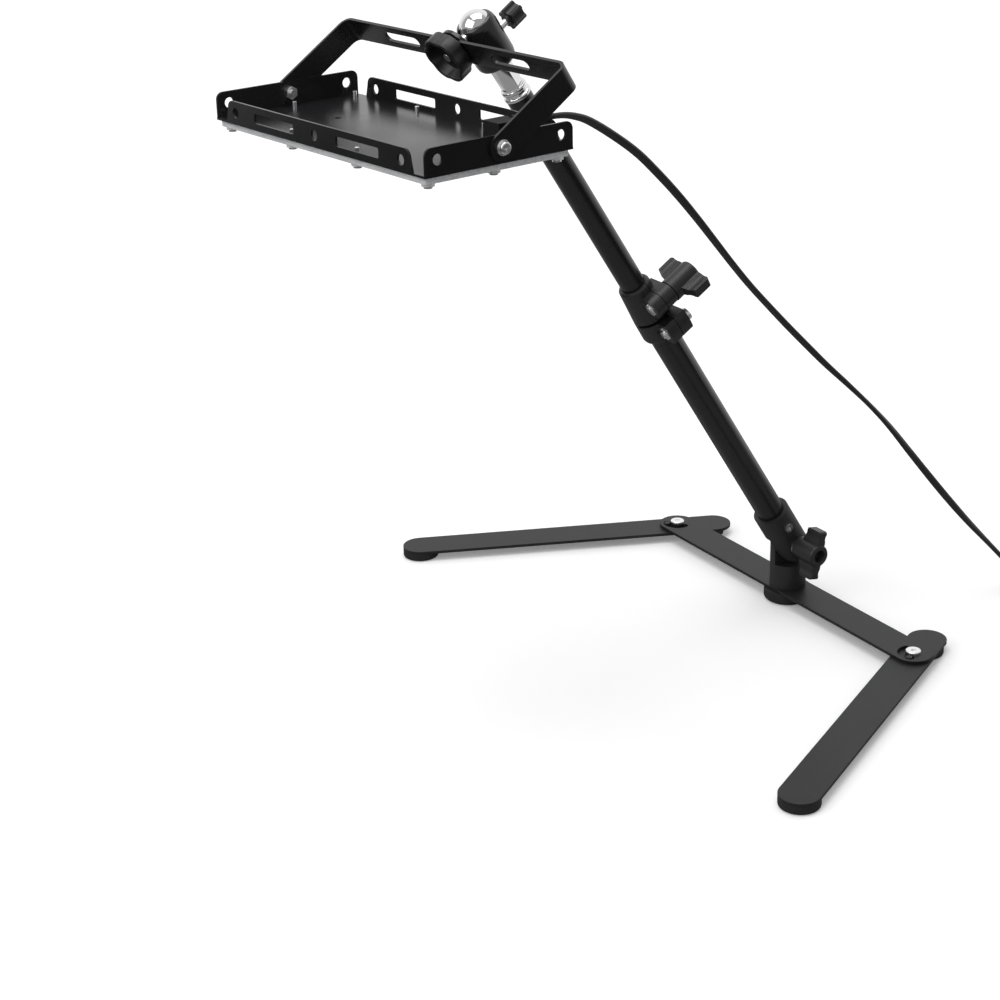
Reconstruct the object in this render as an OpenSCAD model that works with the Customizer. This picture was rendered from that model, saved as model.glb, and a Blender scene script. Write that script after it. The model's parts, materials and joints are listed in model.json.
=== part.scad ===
// A folding bench stand that holds an ultraviolet flood lamp over a work table.
// Millimetres, +Z up, +X along the crossbar, the lamp reaches out towards -Y.
// The origin is on the floor, under the middle of the crossbar.

/* [Base] */
// Width of the flat steel bars
bar_w = 30; // [28:1:36]
// Thickness of the flat steel bars
bar_t = 2.5; // [2:0.5:4]
// Distance between the pivots of the two arms
pivot_span = 297; // [270:1:340]
// Reach of an arm in front of its pivot
arm_front = 237.5; // [180:0.5:260]
// Reach of an arm behind its pivot
arm_rear = 46.2; // [44:0.5:60]
// Outward splay of the left arm
left_splay = 25.4; // [0:0.1:33]
// Outward splay of the right arm
right_splay = 27.9; // [0:0.1:33]
// Diameter of the rubber feet under the arms
foot_d = 30; // [22:1:30]
// Height of the rubber feet under the arms
foot_h = 6.5; // [6:0.5:10]
// Diameter of the rubber foot under the post
centre_foot_d = 38; // [32:1:44]
// Diameter of the screws and bolts that the stand turns on
bolt_d = 6; // [5:0.5:6.5]
// Distance from an arm's pivot to its stop pin
stop_r = 8.9; // [8.4:0.1:9.4]
// Diameter of the stop pins
stop_pin_d = 5; // [3:0.1:5.2]
// Play of a stop pin in its slot, across the slot
slot_play = 1; // [0.4:0.1:1]
// Splay at which a stop pin meets the outer end of its slot
stop_out = 34; // [33:0.5:40]
// Turn past straight ahead at which a stop pin meets the inner end
stop_in = 98; // [80:0.5:100]

/* [Tilt joint] */
// Diameter of the boss on the crossbar
boss_d = 29; // [26:0.5:30]
// Height of the tilt axis over the floor
tilt_z = 49.4; // [46:0.1:60]
// Height of the step in the boss over the crossbar
step_h = 20.8; // [12:0.1:22]
// Radius of the round end of each cheek of the lap joint
cheek_r = 15; // [13:0.1:15.2]
// Place of the lap between the two cheeks, across the boss
lap_x = 1; // [-2:0.5:3]
// Gap between the two cheeks
lap_gap = 0.3; // [0.2:0.1:0.6]
// Lean of the post from upright
lean = 31.86; // [0:0.01:60]
// Diameter of the tube socket
socket_d = 28.8; // [27:0.2:30]
// Distance from the tilt axis to the shoulder of the socket
socket_base = 16.4; // [15.6:0.1:18]
// Distance from the tilt axis to the mouth of the socket
socket_top = 36.6; // [32:0.5:50]
// Diameter of the washer under the tilt knob
washer_d = 16; // [13:0.5:17]
// Thickness of the washer under the tilt knob
washer_t = 1.2; // [0.8:0.1:2]

/* [Knobs] */
// Diameter of the hub of a wing knob
hub_d = 18; // [15:0.5:19]
// Length of a wing knob
knob_l = 24; // [20:0.5:28]
// Reach of a wing from the axis
wing_r = 20; // [16:0.5:22]
// Depth of a wing along the axis
wing_l = 14.5; // [10:0.5:16]
// Thickness of a wing
wing_t = 7.5; // [5:0.5:9]
// Turn of the tilt knob about its bolt
tilt_knob_turn = -12; // [-90:1:90]
// Turn of the collar knob about its bolt
collar_knob_turn = 12; // [-90:1:90]

/* [Post] */
// Diameter of the lower tube
lower_d = 22; // [21:0.5:23]
// Diameter of the upper tube
upper_d = 18.5; // [17.5:0.1:19]
// Wall of both tubes
tube_wall = 1.2; // [1:0.1:1.4]
// Distance from the tilt axis to the top of the upper tube
tube_top = 467; // [420:1:490]
// Length of the upper tube
upper_len = 285; // [240:1:300]
// Play between a sliding tube and its guide, on the radius
slide_play = 0.06; // [0.03:0.01:0.1]
// Length of the guide bush on the upper tube
bush_l = 20; // [14:1:30]

/* [Collar] */
// Distance from the tilt axis to the bottom of the collar
collar_low = 239.5; // [225:0.5:240]
// Distance from the tilt axis to the slit between its two bands
slit_t = 258; // [256:0.5:262]
// Height of the slit
slit_w = 2.4; // [1.5:0.1:3]
// Distance from the tilt axis to the top of the collar
collar_top = 288.5; // [285:0.5:296]
// Wall of the collar round the lower tube
band_wall = 3.4; // [3:0.1:5]
// Distance from the tube axis to the clamp bolts
ear_x = 16.6; // [16.2:0.1:18]
// Height of the nut face on the ears, across the tube
ear_front = 5; // [4:0.5:8]
// Height of the knob face on the ears, across the tube
ear_back = 14.5; // [12:0.5:16]

/* [Ball head] */
// Width across the flats of the spigot
spigot_af = 14; // [12:0.5:15]
// Distance from the top of the tube to the ball housing
spigot_h = 28.5; // [22:0.5:30]
// Distance from the top of the tube to the middle of the ball
ball_h = 58; // [54:0.5:62]
// Diameter of the ball housing
housing_d = 28.5; // [27:0.5:30]
// Diameter of the ball
ball_d = 24.4; // [22:0.2:25]
// Play of the ball in its housing, on the radius
ball_play = 0.08; // [0.05:0.01:0.2]
// Height of the rim over the middle of the ball
rim_h = 6; // [5:0.5:8]
// Diameter of the stem of the ball
stem_d = 8; // [6:0.5:9]
// Distance from the ball to the near face of the platform disc
platform_s = 16.6; // [16.2:0.1:18]
// Diameter of the platform disc
platform_d = 27; // [22:1:40]
// Thickness of the platform disc
platform_t = 4.4; // [3:0.1:5]
// Diameter of the thumb wheel
wheel_d = 33.6; // [30:0.2:36]
// Thickness of the thumb wheel
wheel_t = 9.4; // [7:0.1:11]
// Turn of the ball head about the post
head_turn = 5.7; // [-90:0.1:90]

/* [Strap] */
// Width of the strap
strap_w = 17.8; // [16:0.1:20]
// Thickness of the strap
strap_t = 2; // [1.5:0.1:2.5]
// Play between a leg and the end of the tray
leg_play = 0.15; // [0.1:0.05:1]
// Distance from the outer face of the web to the lamp's side bolts
leg_len = 66.3; // [60:0.1:80]
// Length of each slot in the web
web_slot_l = 38; // [20:1:46]
// Width of each slot in the web
web_slot_w = 8; // [5:0.5:9]
// Distance from the middle of the web to the middle of a slot
web_slot_x = 58; // [50:1:70]
// Turn of the strap about the stud
strap_roll = 2.4; // [-90:0.1:90]
// Turn of the lamp in the strap
lamp_tilt = 32.9; // [0:0.1:35]

/* [Lamp] */
// Length of the tray
tray_l = 234.7; // [200:0.1:236]
// Width of the tray
tray_w = 115.2; // [90:0.1:116]
// Height of the short flanges of the tray
flange_h = 18.2; // [16:0.1:24]
// Height of the long flanges of the tray
long_flange_h = 15.6; // [14:0.1:20]
// Thickness of the tray's sheet
sheet_t = 1.5; // [1:0.1:2]
// Height of the side bolts over the bottom of the tray
side_bolt_z = 10.4; // [9:0.1:12]
// Height of the holes in the long flanges
long_hole_z = 7.9; // [7:0.1:9]
// Height of the holes in the short flanges
short_hole_z = 10.4; // [9:0.1:12]
// Diameter of the round holes in the flanges
hole_d = 7; // [5:0.5:8]
// Distance of the end holes of a long flange from the end of the tray
end_hole_in = 24.35; // [20:0.05:30]
// Distance of the end holes from the middle of a short flange
end_hole_y = 48; // [44:0.5:50]
// Near end of a flange slot, from the middle
slot_near = 24; // [18:0.5:30]
// Distance of the far end of a flange slot from the end hole
slot_gap = 23; // [15:0.5:30]
// Width of a flange slot
slot_w = 6.5; // [5:0.5:8]
// Shortening of a long flange at each corner
flange_cut = 12.5; // [6:0.5:20]
// Distance of the lens plate's edge from the tray's
lens_inset = 2.35; // [1:0.05:6]
// Thickness of the lens plate
lens_t = 2; // [1.5:0.1:4]
// Thickness of the gasket over the lens plate
gasket_t = 2.4; // [2.2:0.1:4]
// Thickness of the LED board
board_t = 1.4; // [1:0.1:1.5]
// Number of LEDs along the board
led_cols = 10; // [4:1:12]
// Number of LEDs across the board
led_rows = 5; // [2:1:6]

/* [Cord] */
// Diameter of the cord
cord_d = 5; // [4:0.2:6]
// Distance from the middle of the coil to the middle of its turns
coil_r = 28; // [25:1:30]
// Number of turns side by side in the coil
coil_wide = 2; // [1:1:2]
// Number of layers in the coil
coil_high = 4; // [1:1:4]

/* [Hidden] */
$fn = 48;

// Clearance of a pin or screw in its hole, on the radius
fit = 0.05;
// Overshoot of a cut past the face it opens
over = 1;

arm_z = foot_h;
bar_z = foot_h + bar_t;
bar_top = bar_z + bar_t;
half_span = pivot_span / 2;
boss_r = boss_d / 2;
step_z = bar_top + step_h;
slot_width = stop_pin_d + slot_play;
nut_af = 10;
nut_h = 5;
head_d = 11.6;
washer_x = boss_r - 1.5;
knob_x = washer_x + washer_t;
socket_r = socket_d / 2;
ball_t = tube_top + ball_h;
upper_low = tube_top - upper_len;
slit_low = slit_t - slit_w / 2;
slit_high = slit_t + slit_w / 2;
upper_band_t = (slit_high + collar_top) / 2 - 1;
lower_band_t = (collar_low + slit_low) / 2;
housing_r = housing_d / 2;
ball_r = ball_d / 2;
strap_span = tray_l + 2 * (leg_play + strap_t);
end_hole_x = tray_l / 2 - end_hole_in;
slot_far = end_hole_x - slot_gap;
lens_l = tray_l - 2 * lens_inset;
lens_w = tray_w - 2 * lens_inset;
web_s = platform_s + platform_t;
web_out = web_s + strap_t;
tray_z = -side_bolt_z;
leg_x = strap_span / 2 - strap_t;
foot_x = bar_w / 2;

// Hex prism, across the flats
module hex(flats, high) {
    cylinder(d = flats / cos(30), h = high, $fn = 6);
}

// Flat bar with round ends, from -back to +ahead along Y
module bar_outline(ahead, back) {
    translate([-bar_w / 2, -ahead + bar_w / 2]) square([bar_w, ahead + back - bar_w]);
    translate([0, -ahead + bar_w / 2]) circle(d = bar_w);
    translate([0, back - bar_w / 2]) circle(d = bar_w);
}

// Frames of the moving parts, each nested in the one before it
module at_post() {
    translate([0, 0, tilt_z]) rotate([lean, 0, 0]) children();
}

module at_head() {
    at_post() translate([0, 0, ball_t]) rotate([0, 0, head_turn]) children();
}

// Z runs out along the stem of the ball, Y up the post
module at_stem() {
    at_head() rotate([90, 0, 0]) rotate([0, 0, -strap_roll]) children();
}

// X along the tray, Y to its back, Z up, the origin on the line of the side bolts
module at_lamp() {
    at_stem() translate([0, 0, web_out + leg_len]) rotate([-90, 0, 0]) rotate([-lamp_tilt, 0, 0]) children();
}

module at_left_arm() {
    translate([-half_span, 0, 0]) rotate([0, 0, -left_splay]) children();
}

module at_right_arm() {
    translate([half_span, 0, 0]) rotate([0, 0, right_splay]) children();
}

// Curved slot round a pivot, for the stop pin. Its round ends are a little wider than the slot,
// so that their walls cross the curved walls cleanly.
module stop_slot() {
    translate([0, 0, bar_z - over]) {
        rotate([0, 0, -90 - stop_in]) rotate_extrude(angle = stop_in + stop_out)
            translate([stop_r - slot_width / 2, 0]) square([slot_width, bar_t + 2 * over]);
        for (turn = [-90 - stop_in, -90 + stop_out]) rotate([0, 0, turn]) translate([stop_r, 0, 0])
            rotate([0, 0, 45]) cylinder(d = slot_width + 0.02, h = bar_t + 2 * over);
    }
}

module crossbar() {
    color([0.13, 0.13, 0.14]) difference() {
        translate([0, 0, bar_z]) linear_extrude(bar_t) rotate(90)
            bar_outline(half_span + bar_w / 2, half_span + bar_w / 2);
        for (side = [-1, 1]) translate([side * half_span, 0, bar_z - over])
            cylinder(r = bolt_d / 2 + fit, h = bar_t + 2 * over);
        translate([half_span, 0, 0]) stop_slot();
        mirror([1, 0, 0]) translate([half_span, 0, 0]) stop_slot();
        translate([0, 0, bar_z - over]) cylinder(r = 2.5 + fit, h = bar_t + 2 * over);
        translate([-peg_x, 0, bar_z - over]) cylinder(r = 2 + fit, h = bar_t + 2 * over);
    }
}

// Arm that points straight ahead, with its pivot at the origin
module arm() {
    color([0.13, 0.13, 0.14]) difference() {
        translate([0, 0, arm_z]) linear_extrude(bar_t) bar_outline(arm_front, arm_rear);
        translate([0, 0, arm_z - over]) cylinder(r = bolt_d / 2 + fit, h = bar_t + 2 * over);
        translate([0, -stop_r, arm_z - over]) cylinder(d = stop_pin_d, h = bar_t + 2 * over);
    }
}

module left_arm() { at_left_arm() arm(); }
module right_arm() { at_right_arm() arm(); }

// Distance of the rear foot from the round end's middle
rear_foot_in = 6;

// Rubber foot with a rounded lower edge and a shallow cup
module foot() {
    r = foot_d / 2;
    color([0.06, 0.06, 0.06]) rotate_extrude() difference() {
        union() {
            translate([0, 1.5]) square([r, foot_h - 1.5]);
            square([r - 1.5, foot_h]);
            translate([r - 1.5, 1.5]) circle(r = 1.5);
        }
        translate([0, -over]) square([r - 6, over + 0.8]);
        translate([-2 * r, -over]) square([2 * r, foot_h + 2 * over]);
    }
}

module arm_feet() {
    for (y = [-arm_front + foot_x, arm_rear - foot_x - rear_foot_in]) translate([0, y, 0]) foot();
}

module left_arm_feet() { at_left_arm() arm_feet(); }
module right_arm_feet() { at_right_arm() arm_feet(); }

module stop_pin() {
    color([0.1, 0.1, 0.1]) translate([0, -stop_r, arm_z]) {
        cylinder(d = stop_pin_d, h = 2 * bar_t + 0.6);
    }
}

module left_stop_pin() { at_left_arm() stop_pin(); }
module right_stop_pin() { at_right_arm() stop_pin(); }

// Pan head screw that stands in the crossbar and carries an arm
module pivot_screws() {
    for (side = [-1, 1]) color([0.8, 0.8, 0.8]) translate([side * half_span, 0, 0]) {
        translate([0, 0, 1.2]) cylinder(d = bolt_d, h = bar_top - 1.2);
        translate([0, 0, bar_top]) difference() {
            rotate_extrude() {
                square([head_d / 2 - 0.8, 2.2]);
                square([head_d / 2, 1.4]);
                translate([head_d / 2 - 0.8, 1.4]) circle(r = 0.8);
            }
            translate([0, 0, 1]) hex(3.5, 2);
        }
    }
}

module pivot_nuts() {
    for (side = [-1, 1]) color([0.75, 0.75, 0.75]) translate([side * half_span, 0, arm_z - 4.4])
        difference() {
            hex(nut_af, 4.4);
            translate([0, 0, -over]) cylinder(r = bolt_d / 2 + fit, h = 4.4 + 2 * over);
        }
}

// Rubber foot under the boss, hollow over the boss screw
centre_r = centre_foot_d / 2;
peg_x = 9;

module centre_foot() {
    color([0.06, 0.06, 0.06]) rotate_extrude() difference() {
        union() {
            translate([0, 2.5]) square([centre_r, bar_z - 2.5]);
            square([centre_r - 2.5, bar_z]);
            translate([centre_r - 2.5, 2.5]) circle(r = 2.5);
        }
        translate([-over, 4.4]) square([7 + over, bar_z]);
        translate([-2 * centre_r, -over]) square([2 * centre_r, bar_z + 2 * over]);
    }
}

// Side view of a cheek: a round end about the axis on a straight root
module cheek_outline(radius, root) {
    circle(r = radius);
    translate([-radius, -root]) square([2 * radius, root]);
}

// Round boss, cut away on one side for the cheek of the tube socket
module boss() {
    color([0.1, 0.1, 0.11]) difference() {
        union() {
            translate([0, 0, bar_top]) cylinder(r = boss_r, h = tilt_z - bar_top);
            intersection() {
                translate([0, 0, bar_top]) cylinder(r = boss_r, h = tilt_z - bar_top + cheek_r);
                translate([-boss_r, 0, tilt_z]) rotate([90, 0, 90]) linear_extrude(2 * boss_r)
                    cheek_outline(cheek_r, 1);
            }
            translate([-peg_x, 0, bar_top - bar_t]) cylinder(r = 2, h = bar_t + 1);
        }
        translate([lap_x, -boss_r - over, step_z]) cube([boss_r + over, boss_d + 2 * over, 2 * boss_d]);
        translate([-boss_r - over, 0, tilt_z]) rotate([0, 90, 0]) cylinder(r = bolt_d / 2 + fit, h = boss_d + 2 * over);
        translate([-boss_r - over, 0, tilt_z]) rotate([0, 90, 0]) hex(nut_af + 2 * fit, 5.5 + over);
        translate([0, 0, bar_top - over]) cylinder(r = 2.5, h = 12 + over);
    }
}

// Screw that holds the boss from below
module boss_screw() {
    color([0.8, 0.8, 0.8]) {
        translate([0, 0, bar_z - 3.2]) cylinder(d = 10, h = 3.2);
        translate([0, 0, bar_z]) cylinder(r = 2.5, h = bar_t + 11);
    }
}

module tilt_bolt() {
    color([0.8, 0.8, 0.8]) translate([-boss_r + 1.5, 0, tilt_z]) rotate([0, 90, 0]) {
        hex(nut_af, 4);
        cylinder(d = bolt_d, h = boss_r - 1.5 + knob_x + 16);
    }
}

module tilt_washer() {
    color([0.85, 0.85, 0.85]) translate([washer_x, 0, tilt_z]) rotate([0, 90, 0]) difference() {
        cylinder(d = washer_d, h = washer_t);
        translate([0, 0, -over]) cylinder(r = bolt_d / 2 + fit, h = washer_t + 2 * over);
    }
}

// Side view of both wings: flush with the end of the hub, gusseted towards its foot
module wing_outline() {
    top = knob_l - 0.8;
    for (side = [0, 1]) mirror([side, 0]) {
        polygon([[0, top - wing_l - 3.5], [hub_d / 2, top - wing_l - 3], [wing_r - 1.5, top - wing_l],
            [wing_r, top - wing_l + 1.5], [wing_r, top - 2], [wing_r - 2, top], [0, top]]);
        translate([wing_r - 1.5, top - wing_l + 1.5]) circle(r = 1.5);
        translate([wing_r - 2, top - 2]) circle(r = 2);
    }
}

// Wing knob that stands on its hub, with the wings along X
module wing_knob() {
    color([0.12, 0.12, 0.13]) difference() {
        union() {
            rotate_extrude() {
                square([hub_d / 2 - 1, knob_l]);
                translate([0, 0.8]) square([hub_d / 2, knob_l - 2.8]);
                translate([hub_d / 2 - 2, knob_l - 2]) circle(r = 2);
            }
            translate([0, wing_t / 2, 0]) rotate([90, 0, 0]) linear_extrude(wing_t) wing_outline();
        }
        translate([0, 0, -over]) cylinder(r = bolt_d / 2 + fit, h = knob_l + 2 * over);
        translate([0, 0, knob_l - 5]) cylinder(d1 = bolt_d + 1.4, d2 = hub_d - 7, h = 5 + over);
        for (side = [-1, 1]) for (face = [-1, 1])
            translate([side * (wing_r + hub_d / 2) / 2, face * (wing_t / 2 + 5.2), -over])
                cylinder(r = 6, h = knob_l + 2 * over);
    }
}

module tilt_knob() {
    translate([knob_x, 0, tilt_z]) rotate([0, 90, 0]) rotate([0, 0, tilt_knob_turn]) wing_knob();
}

// Socket of the lower tube, with the second cheek of the lap joint
module tube_socket() {
    color([0.1, 0.1, 0.11]) at_post() difference() {
        union() {
            translate([0, 0, socket_base]) cylinder(r = socket_r, h = socket_top - socket_base);
            intersection() {
                translate([0, 0, -cheek_r]) cylinder(r = socket_r, h = cheek_r + socket_base + 1);
                translate([lap_x + lap_gap, 0, 0]) rotate([90, 0, 90]) linear_extrude(boss_d)
                    mirror([0, 1]) cheek_outline(cheek_r, socket_base + 1);
            }
        }
        translate([0, 0, socket_base + 2.6]) cylinder(r = lower_d / 2 + fit, h = socket_top);
        rotate([0, 90, 0]) cylinder(r = bolt_d / 2 + fit, h = boss_d);
        translate([washer_x, 0, 0]) rotate([0, 90, 0]) cylinder(r = hub_d / 2 + 1, h = boss_d);
        translate([0, 0, socket_screw_t]) rotate([0, 90, 0]) cylinder(r = 2 + fit, h = boss_d);
        translate([socket_r - 1.2, 0, socket_screw_t]) rotate([0, 90, 0]) cylinder(d = 7.6, h = boss_d);
    }
}

socket_screw_t = 23;

module socket_screw() {
    color([0.85, 0.85, 0.85]) at_post() translate([0, 0, socket_screw_t]) rotate([0, 90, 0]) {
        translate([0, 0, lower_d / 2 - tube_wall - 1.5]) cylinder(r = 2, h = socket_r - lower_d / 2 + tube_wall + 0.6);
        translate([0, 0, socket_r - 1.2]) difference() {
            cylinder(d = 7, h = 2);
            translate([0, 0, 0.8]) cube([4.4, 1, 4], center = true);
            translate([0, 0, 0.8]) cube([1, 4.4, 4], center = true);
        }
    }
}

module lower_tube() {
    low = socket_base + 2.6;
    color([0.08, 0.08, 0.09]) at_post() difference() {
        translate([0, 0, low]) cylinder(d = lower_d, h = slit_low - low);
        translate([0, 0, low - over]) cylinder(d = lower_d - 2 * tube_wall, h = slit_low);
        translate([0, 0, socket_screw_t]) rotate([0, 90, 0]) cylinder(r = 2 + fit, h = lower_d);
    }
}

// Side view of an ear of the collar, across the tube and along it
module ear_block(low, high, outer_x) {
    translate([0, -ear_front, low]) cube([outer_x, ear_front + ear_back, high - low]);
}

slit_x = 2;
clamp_gap = 0.5;
wide = 100;

// Collar with a band for each tube, joined on one side past the slit between them
module collar() {
    band_r = lower_d / 2 + band_wall;
    top_r = upper_d / 2 + 2.3;
    ear_out = ear_x + 7;
    color([0.11, 0.11, 0.12]) at_post() difference() {
        union() {
            rotate_extrude() polygon([[0, collar_low], [band_r - 2.5, collar_low], [band_r - 0.7, collar_low + 0.8],
                [band_r, collar_low + 2.8], [band_r - 0.3, slit_t], [top_r + 0.6, collar_top - 1.6],
                [top_r - 0.6, collar_top], [0, collar_top]]);
            intersection() {
                ear_block(collar_low, slit_low, ear_out);
                translate([0, 0, lower_band_t]) rotate([90, 0, 0]) translate([0, 0, -wide / 2]) cylinder(r = ear_out, h = wide);
            }
            translate([ear_x, ear_back, upper_band_t]) rotate([90, 0, 0]) cylinder(r = 8.5, h = ear_front + ear_back);
            ear_block(upper_band_t - 8.5, upper_band_t + 8.5, ear_x);
        }
        translate([0, 0, collar_low - over]) cylinder(r = lower_d / 2 + fit, h = slit_t - collar_low + over);
        translate([0, 0, slit_t - over]) cylinder(r = upper_d / 2 + slide_play, h = collar_top);
        translate([slit_x, -wide / 2, slit_low]) cube([wide, wide, slit_w]);
        translate([slit_x, -wide / 2, slit_t]) rotate([-90, 0, 0]) cylinder(d = slit_w + 0.02, h = wide, $fn = 24);
        translate([0, 4, collar_low - over]) cube([wide, clamp_gap, collar_top]);
        for (t = [lower_band_t, upper_band_t]) translate([ear_x, 0, t]) rotate([90, 0, 0])
            translate([0, 0, -wide / 2]) cylinder(r = bolt_d / 2 + fit, h = wide);
        for (t = [lower_band_t, upper_band_t]) translate([ear_x, -ear_front + 4, t]) rotate([90, 30, 0])
            hex(nut_af + 2 * fit, 10);
    }
}

module nut() {
    color([0.8, 0.8, 0.8]) difference() {
        hex(nut_af, nut_h);
        translate([0, 0, -over]) cylinder(r = bolt_d / 2 + fit, h = nut_h + 2 * over);
    }
}

module collar_screw() {
    color([0.8, 0.8, 0.8]) at_post() translate([ear_x, ear_back, lower_band_t]) rotate([90, 0, 0]) {
        translate([0, 0, -3.6]) cylinder(d = head_d - 1.6, h = 3.6);
        cylinder(d = bolt_d, h = ear_front + ear_back + 2.5);
    }
}

module collar_screw_nut() {
    at_post() translate([ear_x, -ear_front + 4, lower_band_t]) rotate([90, 30, 0]) nut();
}

module collar_bolt() {
    color([0.8, 0.8, 0.8]) at_post() translate([ear_x, -ear_front - 1.5, upper_band_t]) rotate([-90, 0, 0])
        cylinder(d = bolt_d, h = ear_front + ear_back + 1.5 + 16);
}

module collar_bolt_nut() {
    at_post() translate([ear_x, -ear_front + 4, upper_band_t]) rotate([90, 30, 0]) nut();
}

module collar_knob() {
    at_post() translate([ear_x, ear_back, upper_band_t]) rotate([-90, 0, 0]) rotate([0, 0, collar_knob_turn]) wing_knob();
}

module upper_tube() {
    color([0.08, 0.08, 0.09]) at_post() difference() {
        translate([0, 0, upper_low]) cylinder(d = upper_d, h = upper_len);
        translate([0, 0, upper_low - over]) cylinder(d = upper_d - 2 * tube_wall, h = upper_len + 2 * over);
    }
}

// Bush that keeps the foot of the upper tube central in the lower tube
module guide_bush() {
    color([0.85, 0.85, 0.82]) at_post() difference() {
        translate([0, 0, upper_low - 2]) cylinder(r = lower_d / 2 - tube_wall - slide_play, h = bush_l + 2);
        translate([0, 0, upper_low]) cylinder(r = upper_d / 2 + fit, h = bush_l + over);
        translate([0, 0, upper_low - 2 - over]) cylinder(r = upper_d / 2 - tube_wall - 1, h = 2 + 2 * over);
    }
}

// Plated spigot: plug in the tube, flange, ring, hex shank and stud
module spigot() {
    color([0.85, 0.85, 0.87]) at_post() translate([0, 0, tube_top]) {
        translate([0, 0, -18]) cylinder(r = upper_d / 2 - tube_wall - fit, h = 18);
        rotate_extrude() polygon([[0, 0], [9.2, 0], [10, 0.8], [10, 2.4], [9.2, 3.2], [8.6, 3.4], [8.6, 5.2],
            [9.4, 6], [9.4, 7.6], [8.8, 8.4], [0, 8.4]]);
        translate([0, 0, 8]) hex(spigot_af, spigot_h - 8);
        translate([0, 0, spigot_h]) cylinder(r = 3.1, h = stud_in);
    }
}

// Turned housing with the seat of the ball and a notch for the stem
module ball_housing() {
    low = spigot_h - ball_h;
    cup_r = ball_r + ball_play;
    notch_w = stem_d + 2;
    color([0.05, 0.05, 0.06]) at_head() difference() {
        rotate_extrude() polygon([[0, low], [housing_r - 3.6, low], [housing_r - 1.6, low + 0.9],
            [housing_r - 0.5, low + 2.6], [housing_r, low + 5.5], [housing_r, rim_h - 5.5], [housing_r - 0.5, rim_h - 3],
            [housing_r - 1.6, rim_h - 0.8], [housing_r - 2.8, rim_h], [0, rim_h]]);
        sphere(r = cup_r);
        translate([0, 0, -pad_low]) cylinder(r = cup_r, h = pad_low);
        translate([0, 0, low - over]) cylinder(r = 3.1 + fit, h = stud_in + fit + over);
        rotate([90, 0, 0]) cylinder(d = notch_w, h = housing_d);
        translate([-notch_w / 2, -housing_d, 0]) cube([notch_w, housing_d, housing_d]);
        translate([0, 0, -lock_drop]) rotate([-90, 0, 0]) cylinder(r = 2.5 + fit, h = housing_d);
    }
}

pad_low = 19;
stud_in = 8;
lock_drop = 12;
pad_top = 5;

// Pad under the ball, with a hollow seat and a cone hole for the lock screw
module pressure_pad() {
    color([0.75, 0.75, 0.7]) at_head() difference() {
        translate([0, 0, -pad_low]) cylinder(r = ball_r - 0.2, h = pad_low - pad_top);
        sphere(r = ball_r + 0.02);
        translate([0, 8, -lock_drop]) rotate([-90, 0, 0]) cylinder(r = 2.9, h = housing_d);
    }
}

module lock_screw() {
    color([0.85, 0.85, 0.85]) at_head() translate([0, 8.05, -lock_drop]) rotate([-90, 0, 0])
        cylinder(r = 2.5, h = lock_out - 8.05);
}

lock_gap = 6.6;
lock_out = housing_r + lock_gap + 9.2;

// Small fluted knob of the lock screw
module lock_knob() {
    color([0.1, 0.1, 0.11]) at_head() translate([0, housing_r + lock_gap, -lock_drop]) rotate([-90, 0, 0]) difference() {
        union() {
            cylinder(d = 9, h = 13);
            translate([0, 0, 1.6]) linear_extrude(10.4) difference() {
                circle(d = 16);
                for (turn = [0 : 60 : 300]) rotate(turn) translate([9.6, 0]) circle(r = 3.6);
            }
        }
        translate([0, 0, -over]) cylinder(r = 2.5 + fit, h = lock_out - housing_r - lock_gap + over + fit);
    }
}

// Ball, stem and threaded stud in one piece
module ball_stem() {
    stud_l = web_out + wheel_t - 1.6;
    color([0.9, 0.9, 0.92]) at_stem() difference() {
        union() {
            sphere(r = ball_r);
            cylinder(d = stem_d, h = platform_s);
            cylinder(r = 3.1, h = stud_l);
        }
        translate([-ball_d, -ball_d, -ball_d - ball_r + 0.6]) cube([2 * ball_d, 2 * ball_d, ball_d]);
    }
}

module platform_disc() {
    color([0.07, 0.07, 0.08]) at_stem() translate([0, 0, platform_s]) difference() {
        rotate_extrude() polygon([[0, 0], [platform_d / 2 - 3, 0], [platform_d / 2, 1.6],
            [platform_d / 2, platform_t - 0.4], [platform_d / 2 - 0.4, platform_t], [0, platform_t]]);
        translate([0, 0, -over]) cylinder(r = 3.1 + fit, h = platform_t + 2 * over);
    }
}

wheel_cup = 5;

// Scalloped wheel on the stud, cupped round its end
module thumb_wheel() {
    wheel_r = wheel_d / 2;
    color([0.12, 0.12, 0.13]) at_stem() translate([0, 0, web_out]) difference() {
        union() {
            cylinder(d = 17, h = wheel_t - wheel_cup);
            translate([0, 0, 1.2]) linear_extrude(wheel_t - 1.2) difference() {
                circle(r = wheel_r);
                for (turn = [0 : 60 : 300]) rotate(turn + 20) translate([wheel_r + 4.6, 0]) circle(r = 7);
            }
        }
        translate([0, 0, -over]) cylinder(r = 3.1 + fit, h = wheel_t + 2 * over);
        translate([0, 0, wheel_t - wheel_cup]) cylinder(r1 = wheel_r - 6.4, r2 = wheel_r - 5, h = wheel_cup + over);
    }
}

// Web slot, along X
module long_slot(length, width, deep) {
    translate([-length / 2 + width / 2, -width / 2, 0]) cube([length - width, width, deep]);
    for (side = [-1, 1]) translate([side * (length - width) / 2, 0, 0]) cylinder(d = width, h = deep);
}

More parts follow.
